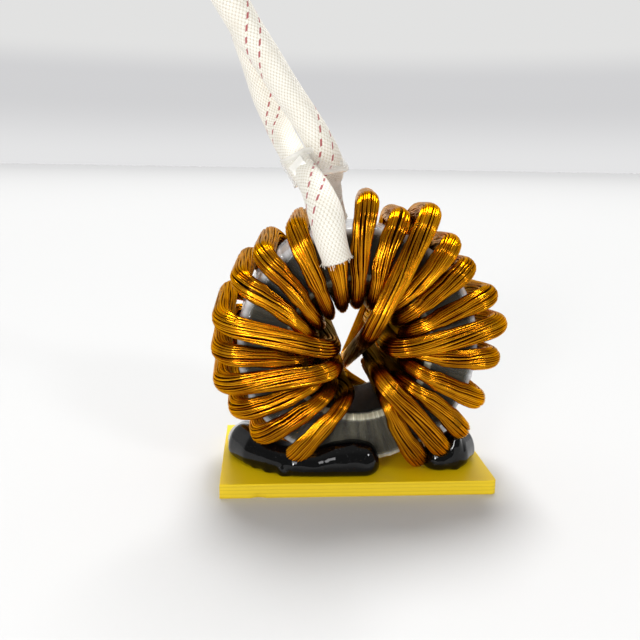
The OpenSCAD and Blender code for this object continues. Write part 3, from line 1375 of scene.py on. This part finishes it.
@dataclass
class Sleeve:
    """A braided sleeve on one end of the bundle, uneven and flared at its cut end. Lengths are in mm."""

    name: str
    node: Node
    route: tuple[Place, ...]
    ring_z: float
    turn: float
    swells: tuple[Swell, ...] = ()
    waves: tuple[Wave, ...] = (Wave(0.060, 7.0, 2), Wave(0.036, 3.1, -1), Wave(0.024, 1.7, 3))
    diameter: float = 6.4
    inset: float = 0.12
    wall: float = 0.35
    flare: Span = (0.10, 0.08)
    flare_length: float = 1.2
    flare_waves: int = 5
    sides: int = 56
    spacing: float = 0.45
    inner_length: float = 3.0

    def __post_init__(self) -> None:
        """Runs the fine line through the route's points."""
        self.points = np.array(self.route, float) + [0, 0, self.ring_z]
        points = smooth_route(self.points, self.spacing)
        along = unit(np.gradient(points, axis=0))
        rows = [unit(np.cross([0.0, 1.0, 0.0], along[0]))]
        for d in along[1:]:
            rows.append(unit(rows[-1] - d * (rows[-1] @ d)))
        across = np.array(rows)
        half = np.full((len(points), 2), self.diameter / 2)
        self.line = Line(points, along, across, np.cross(along, across), half, way_run(points))

    def radii(self, angle: Array) -> Array:
        """The sleeve's radius at each point of each ring.

        Args:
            angle: The angle of each point in a ring.

        Returns:
            The radii, one row for each ring.
        """
        run = self.line.run[:, None]
        phase = np.random.default_rng(len(self.name)).uniform(0, math.tau, len(self.waves) + 1)
        radius = self.diameter / 2 - self.inset
        for wave, start in zip(self.waves, phase):
            radius = radius + wave.height * np.sin(run / wave.length + start + wave.count * angle)
        for swell in self.swells:
            radius = radius + swell.more * np.exp(-(((run - swell.at) / swell.reach) ** 2))
        flare = self.flare[0] + self.flare[1] * np.sin(self.flare_waves * angle + phase[-1])
        return radius + np.exp(-run / self.flare_length) * flare

    def build(
        self, finish: bpy.types.Material, with_pieces: Sequence[bpy.types.Object] = ()
    ) -> bpy.types.Object:
        """Makes the sleeve as a tube that is open where the bundle goes in.

        Args:
            finish: Its material.
            with_pieces: The pieces that are on it; not used.

        Returns:
            The sleeve.
        """
        angle = np.arange(self.sides) * math.tau / self.sides
        radius = self.radii(angle)
        deep = max(2, round(self.inner_length / self.spacing))
        inside = self.tube(self.line.cut(0, deep), radius[: deep + 1] - self.wall, angle)[::-1]
        rings = np.concatenate([inside, self.tube(self.line, radius, angle)])
        faces = loft_faces(len(rings), self.sides, capped=True)
        obj = mesh_object(self.name, rings.reshape(-1, 3), faces)
        self.wrap_uv(obj, np.concatenate([self.line.run[: deep + 1][::-1], self.line.run]))
        obj.data.materials.append(finish)
        hand_in(obj, Slot.SLEEVE, self.node)
        tuple(self.line.points[0] * MM)
        float(self.line.run[-1] * MM)
        self.diameter * MM
        (self.line.points * MM).tolist()
        return obj

    def tube(self, line: Line, radius: Array, angle: Array) -> Array:
        """Rings of points round a line, at the given radii."""
        size = radius[..., None]
        return hoops(line.points, line.across[:, None] * size, line.out[:, None] * size, angle)

    def wrap_uv(self, obj: bpy.types.Object, run: Array) -> None:
        """Stores the share of the way round and the way along, in metres, as a UV map.

        Args:
            obj: The sleeve.
            run: The way along at each of its rings.
        """
        mesh = obj.data
        loops = np.empty(len(mesh.loops), dtype=np.int32)
        mesh.loops.foreach_get("vertex_index", loops)
        ring, side = np.divmod(loops, self.sides)
        around = side / self.sides
        # The last quad of a ring ends at a whole turn, not at 0.
        quads = np.arange((len(run) - 1) * self.sides) * 4
        last = quads[side[quads] == self.sides - 1]
        around[last + 1] += 1.0
        around[last + 2] += 1.0
        uv = np.stack([around + self.turn, run[ring] * MM], axis=1)
        mesh.uv_layers.new(name="Sleeve").data.foreach_set("uv", uv.ravel())


@dataclass
class Fray:
    """Loose yarn ends round the cut end of a sleeve. Lengths are in mm."""

    name: str
    sleeve: Sleeve
    count: int = 44
    length: float = 1.5
    thickness: float = 0.07
    spread: float = 0.55
    outwards: float = 0.35
    overlap: float = 0.25
    seed: int = 5

    @staticmethod
    def recipe() -> Recipe:
        """Builds the tree that sets a yarn end on each point, each of its own length and lean.

        Returns:
            The tree.
        """
        kinds = {"Length": "Float", "Thickness": "Float", "Spread": "Float", "Seed": "Int"}
        g = Recipe("loose_yarns", kinds)
        given = g.given
        yarn = g.wire("GeometryNodeCurvePrimitiveLine", values={"End": g.joined(z=given["Length"])})
        tube = g.tube(yarn, given["Thickness"], 4)
        ends = {0: (-1.0, -1.0, -1.0), 1: (1.0, 1.0, 1.0), "Seed": given["Seed"]}
        stray = g.add("FunctionNodeRandomValue", {"data_type": "FLOAT_VECTOR"}, ends)
        shortest, longest = 0.25, 1.0
        shares = {2: shortest, 3: longest, "Seed": given["Seed"]}
        size = g.add("FunctionNodeRandomValue", {"data_type": "FLOAT"}, shares)
        strayed = g.scaled(Wire(g, stray.outputs[0]), given["Spread"])
        lean = g.vector("ADD", g.stored("way", "FLOAT_VECTOR"), strayed)
        laid = {
            "Points": given["Geometry"],
            "Instance": tube,
            "Rotation": g.wire("FunctionNodeAlignRotationToVector", {"axis": "Z"}, {"Vector": lean}),
            "Scale": g.joined(1.0, 1.0, Wire(g, size.outputs[1])),
        }
        g.close(g.wire("GeometryNodeInstanceOnPoints", values=laid))
        return g

    def build(self, recipe: Recipe, finish: bpy.types.Material) -> bpy.types.Object:
        """Lays the yarn ends round the sleeve's lower end.

        Args:
            recipe: The tree that makes them.
            finish: Their material.

        Returns:
            The piece.
        """
        line = self.sleeve.line
        angle = np.random.default_rng(4).uniform(0, math.tau, self.count)[:, None]
        away = line.across[0] * np.cos(angle) + line.out[0] * np.sin(angle)
        radius = self.sleeve.diameter / 2 - self.sleeve.inset
        obj = mesh_object(self.name, line.points[0] + away * radius + line.along[0] * self.overlap)
        store(obj, "way", away * self.outwards - line.along[0])
        inputs = {
            "Length": self.length * MM,
            "Thickness": self.thickness * MM,
            "Spread": self.spread,
            "Seed": self.seed,
            "Finish": finish,
        }
        return hand_in(recipe.grow(obj, inputs), Slot.SLEEVE, self.sleeve.node)


@dataclass
class LeadTape:
    """Clear tape that holds both sleeves together, with a loose pointed end. Lengths are in mm."""

    finish: ClearTape
    front: Sleeve
    rear: Sleeve
    at_front: int = 4
    at_rear: int = 3
    width: float = 7.0
    thickness: float = 0.28
    gap: float = 0.06
    skew: float = 0.25
    skew_rate: float = 0.9
    crumple: float = 0.08
    crumple_step: int = 3
    milky_power: int = 4
    levels: int = 9
    corner_steps: int = 13
    flap_corners: tuple[Place, ...] = (
        (-16.9, -11.0, 74.7),
        (-14.4, -11.6, 77.6),
        (-11.6, -12.2, 73.6),
        (-14.3, -12.2, 72.0),
    )
    flap_bulge: float = 0.5
    flap_steps: int = 5

    def build(self) -> bpy.types.Object:
        """Makes the band round both sleeves and its loose end, and says where the tape is milky.

        Returns:
            The tape.
        """
        places = ((self.front.points, self.at_front), (self.rear.points, self.at_rear))
        centres = [points[i] for points, i in places]
        axis = unit(sum(unit(points[i + 1] - points[i - 1]) for points, i in places))
        side = centres[1] - centres[0]
        side = unit(side - axis * float(side @ axis))
        up = np.cross(axis, side)
        outline = [
            (centre, side * math.cos(t) + up * math.sin(t))
            for centre, start in zip(centres, (90, 270))
            for t in np.radians(start + np.linspace(0, 180, self.corner_steps))
        ]
        inner = self.front.diameter / 2 + self.gap
        lengths = np.linspace(-self.width / 2, self.width / 2, self.levels)
        points, milky = [], []
        for radius, order in ((inner + self.thickness, lengths), (inner, lengths[::-1])):
            for s in order:
                shift = axis * s + up * self.skew * math.sin(s * self.skew_rate)
                for k, (centre, way) in enumerate(outline):
                    crumple = self.crumple * math.sin(self.crumple_step * k + s)
                    points.append(centre + way * (radius + crumple) + shift)
                    milky.append((abs(s) / (self.width / 2)) ** self.milky_power)
        faces = loft_faces(2 * self.levels, len(outline), closed=True)
        faces += self.flap(points)
        milky += [1.0] * (len(points) - len(milky))
        obj = mesh_object("lead_tape_band", np.array(points), faces)
        store(obj, "milky", np.array(milky))
        obj.data.materials.append(self.finish.build())
        return hand_in(obj, Slot.TAPE, Node.LEAD_TAPE)

    def flap(self, points: list[Array]) -> list[tuple[int, ...]]:
        """Adds the loose end.

        Args:
            points: The tape's points, to which the loose end's are added.

        Returns:
            Its faces.
        """
        first, n = len(points), self.flap_steps
        a, b, c, d = np.array(self.flap_corners)
        for u in np.linspace(0, 1, n):
            for v in np.linspace(0, 1, n):
                bulge = [0, -self.flap_bulge * math.sin(math.pi * v), 0]
                points.append(blend(blend(a, b, u), blend(d, c, u), v) + bulge)
        corners = [first + n * i + j for i in range(n - 1) for j in range(n - 1)]
        return [(k, k + 1, k + n + 1, k + n) for k in corners]


# ---------------------------------------------------------------- studio


@dataclass(frozen=True)
class Lamp:
    """A lamp turned to the part: the way to it, in degrees from the front, and its light on the part."""

    name: str
    azimuth: float
    elevation: float
    strength: float

    def place(self, kind: str) -> tuple[bpy.types.Light, bpy.types.Object, Vector]:
        """Makes a lamp of one kind.

        Args:
            kind: The kind of lamp, such as SUN.

        Returns:
            Its data, its object and the way from the part to it.
        """
        a, e = math.radians(self.azimuth), math.radians(self.elevation)
        way = Vector((math.sin(a) * math.cos(e), -math.cos(a) * math.cos(e), math.sin(e)))
        data = bpy.data.lights.new(self.name, kind)
        obj = put(self.name, data)
        obj.rotation_euler = way.to_track_quat("Z", "Y").to_euler()
        return data, obj, way


@dataclass(frozen=True)
class FarLamp(Lamp):
    """A lamp far away, as wide as it looks from the part, in degrees."""

    width: float

    def build(self) -> None:
        """Makes the lamp."""
        data, _, _ = self.place("SUN")
        data.energy = self.strength
        data.angle = math.radians(self.width)


@dataclass(frozen=True)
class Softbox(Lamp):
    """A flat lamp, at a distance and of a size in metres."""

    distance: float
    size: Span
    centre_z: float = 0.035

    def build(self) -> None:
        """Makes the lamp."""
        data, obj, way = self.place("AREA")
        data.shape = "RECTANGLE"
        data.size, data.size_y = self.size
        data.energy = self.strength * math.pi * self.distance**2
        obj.location = way * self.distance + Vector((0.0, 0.0, self.centre_z))


@dataclass
class Studio:
    """Pale floor, soft light and the camera, whose angles are in degrees and whose place is in mm."""

    camera_place: Place = (-22.25, -181.28, 76.37)
    yaw: float = 4.36
    pitch: float = 11.96
    roll: float = 0.97
    lens: float = 42.19
    sensor: float = 36.0
    sight: Span = (0.01, 50.0)
    floor_half: float = 8.0
    floor_drop: float = 0.02
    floor_near: Colour = (0.60, 0.60, 0.60)
    floor_far: Colour = (0.42, 0.42, 0.425)
    wall_foot: Colour = (0.78, 0.78, 0.785)
    wall_band: Colour = (0.64, 0.64, 0.65)
    band_rise: Span = (0.0, 0.075)
    wall_head: Colour = (0.76, 0.76, 0.755)
    head_rise: Span = (0.10, 0.14)
    wall_front: Colour = (0.22, 0.22, 0.215)
    front_turn: Span = (-0.1, 0.35)
    overhead: Colour = (0.42, 0.42, 0.41)
    overhead_rise: Span = (0.45, 0.8)
    lamps: tuple[FarLamp | Softbox, ...] = (
        FarLamp("key_behind", 179.0, 64.0, 3.4, 24.0),
        FarLamp("fill_front_left", -28.0, 12.0, 0.9, 10.0),
        FarLamp("fill_front_right", 40.0, 28.0, 0.6, 10.0),
        Softbox("box_front_left", -22.0, 16.0, 0.6, 0.6, (0.30, 0.09)),
    )

    def camera(self) -> None:
        """Makes the camera."""
        yaw, pitch, roll = (math.radians(v) for v in (self.yaw, self.pitch, self.roll))
        ahead = Vector((math.sin(yaw) * math.cos(pitch), math.cos(yaw) * math.cos(pitch), -math.sin(pitch)))
        right = Vector((math.cos(yaw), -math.sin(yaw), 0.0))
        up = right.cross(ahead)
        level_right = right * math.cos(roll) + up * math.sin(roll)
        level_up = up * math.cos(roll) - right * math.sin(roll)
        data = bpy.data.cameras.new("camera")
        data.lens, data.sensor_width = self.lens, self.sensor
        data.clip_start, data.clip_end = self.sight
        obj = put("camera", data)
        turn = Matrix((level_right, level_up, -ahead)).transposed().to_4x4()
        obj.matrix_world = Matrix.Translation([v * MM for v in self.camera_place]) @ turn
        bpy.context.scene.camera = obj

    def floor(self) -> None:
        """Makes the pale floor, with painted shade that makes it a little darker far away. Its half width is
        in metres and its drop in mm.
        """
        h, z = self.floor_half / MM, -self.floor_drop
        corners = np.array([[-h, -h, z], [h, -h, z], [h, h, z], [-h, h, z]])
        obj = mesh_object("floor", corners, [(0, 1, 2, 3)])
        s = Surface("pale_floor")
        away = s.vector("LENGTH", s.here(), out="Value")
        far = s.math("POWER", s.math("MINIMUM", away / self.floor_half, 1.0), 0.5)
        colour = s.mix(s.step(far, 0.3, 1.0), self.floor_near, self.floor_far)
        pale = s.finish({"Base Color": colour, "Roughness": 0.75, "Specular IOR Level": 0.2})
        obj.data.materials.append(pale)

    def world(self) -> None:
        """Makes soft light from all round, pale at the horizon behind and dimmer overhead."""
        world = bpy.data.worlds.new("studio")
        world.use_nodes = True
        bpy.context.scene.world = world
        g = Graph(world.node_tree)
        g.tree.nodes.clear()
        _, behind, height = g.parts(g.wire("ShaderNodeTexCoord", out="Generated"))
        wall = g.mix(g.step(height, *self.band_rise), self.wall_foot, self.wall_band)
        wall = g.mix(g.step(height, *self.head_rise), wall, self.wall_head)
        wall = g.mix(g.step(behind, *self.front_turn), self.wall_front, wall)
        colour = g.mix(g.step(height, *self.overhead_rise), wall, self.overhead)
        background = g.wire("ShaderNodeBackground", values={"Color": colour, "Strength": 1.0})
        g.add("ShaderNodeOutputWorld", values={"Surface": background})

    def build(self) -> None:
        """Sets up the whole studio."""
        self.camera()
        self.floor()
        self.world()
        for lamp in self.lamps:
            lamp.build()
        bpy.context.scene.view_settings.view_transform = "Standard"


# ---------------------------------------------------------------- this part's own routes and beads, in mm


# Heights on the routes are from the middle of the ring.
FRONT_ROUTE = (
    (-6.5, -19, 22), (-8, -20, 26.5), (-9, -19, 31.5), (-11, -14.5, 37), (-14, -7.5, 41.5), (-16.5, -1.5, 46),
    (-19, 3, 51), (-22, 4, 57.5), (-24.5, 3, 64.5), (-27, 1, 71), (-29.5, -1, 78.5), (-32, -3, 85),
)
REAR_ROUTE = (
    (-3, 22.5, 28), (-5, 16.5, 34), (-5.5, 8, 38.5), (-7, -1, 42.5), (-10, -6, 47.5), (-13.5, -7, 53),
    (-17.5, -6.5, 58.5), (-21.5, -6.5, 64.5), (-26, -7, 71), (-30.5, -8, 78), (-33.5, -10, 83.5),
)
FRONT_SWELLS = (Swell(10, 6.5, 0.75), Swell(80, 25, -0.3))
REAR_SWELLS = (Swell(17, 4, -0.8), Swell(32, 7, 0.35), Swell(78, 22, 0.75))
LEFT_LUMPS = (
    Lump(-27, 9.5, 3.3, 8.4), Lump(-28, 4, 3.7, 9.6), Lump(-27.2, -2, 4.1, 11.8), Lump(-24, -6.8, 4.3, 11.6),
    Lump(-19.5, -10.4, 4.3, 11), Lump(-14.5, -13.2, 4, 9.9), Lump(-9.5, -13.5, 4, 9.6),
    Lump(-5, -13.6, 4.2, 11.3), Lump(-1, -13.7, 4.2, 11.9), Lump(1.4, -13.7, 4.1, 11.4),
)
LEFT_DRIPS = (Lump(-23.8, -9.6, 2.0, 8.8), Lump(-20.8, -12.2, 2.0, 7.2), Lump(-17.2, -14.4, 2.1, 6.8))
RIGHT_LUMPS = (
    Lump(20.3, -10.8, 4.1, 10.4), Lump(23.8, -9.6, 4.6, 12.2), Lump(26.4, -5.2, 4.6, 11.6),
    Lump(27.2, 1.5, 4.1, 10.2), Lump(27, 7.5, 3.5, 8.2),
)
RIGHT_DRIPS = (Lump(24, -12.2, 2.1, 12.8),)


def main() -> None:
    """Builds every piece in order and reports it."""
    logging.basicConfig(level=logging.INFO, format="%(name)s %(message)s")
    low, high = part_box(Node.CORE.value)
    ring_z = (low[2] + high[2]) / 2 / MM
    Studio().build()

    front = Sleeve("sleeve_front", Node.LEAD_FRONT, FRONT_ROUTE, ring_z, 0.21, FRONT_SWELLS)
    rear = Sleeve("sleeve_rear", Node.LEAD_REAR, REAR_ROUTE, ring_z, -0.20, REAR_SWELLS)
    braid = BraidedGlass().build()
    tape = LeadTape(ClearTape(), front, rear).build()
    yarn = LooseYarn().build()
    fray = Fray.recipe()
    front.build(braid, [tape, Fray("fray_front", front).build(fray, yarn)])
    rear.build(braid, [Fray("fray_rear", rear, length=1.0).build(fray, yarn)])

    path = BundlePath(ring_z)
    RingCore(path, CoreCoating(ring_z=ring_z * MM), ClearFilm()).build()
    Winding(path.line(front.points[0], rear.points[0]), EnamelledStrands()).build()
    Board(GlassEpoxy()).build()
    wet = WetAdhesive().build()
    AdhesiveBead("adhesive_bead_left", Node.ADHESIVE_LEFT, wet, LEFT_LUMPS, LEFT_DRIPS).build()
    AdhesiveBead("adhesive_bead_right", Node.ADHESIVE_RIGHT, wet, RIGHT_LUMPS, RIGHT_DRIPS).build()


if __name__ == "__main__":
    main()
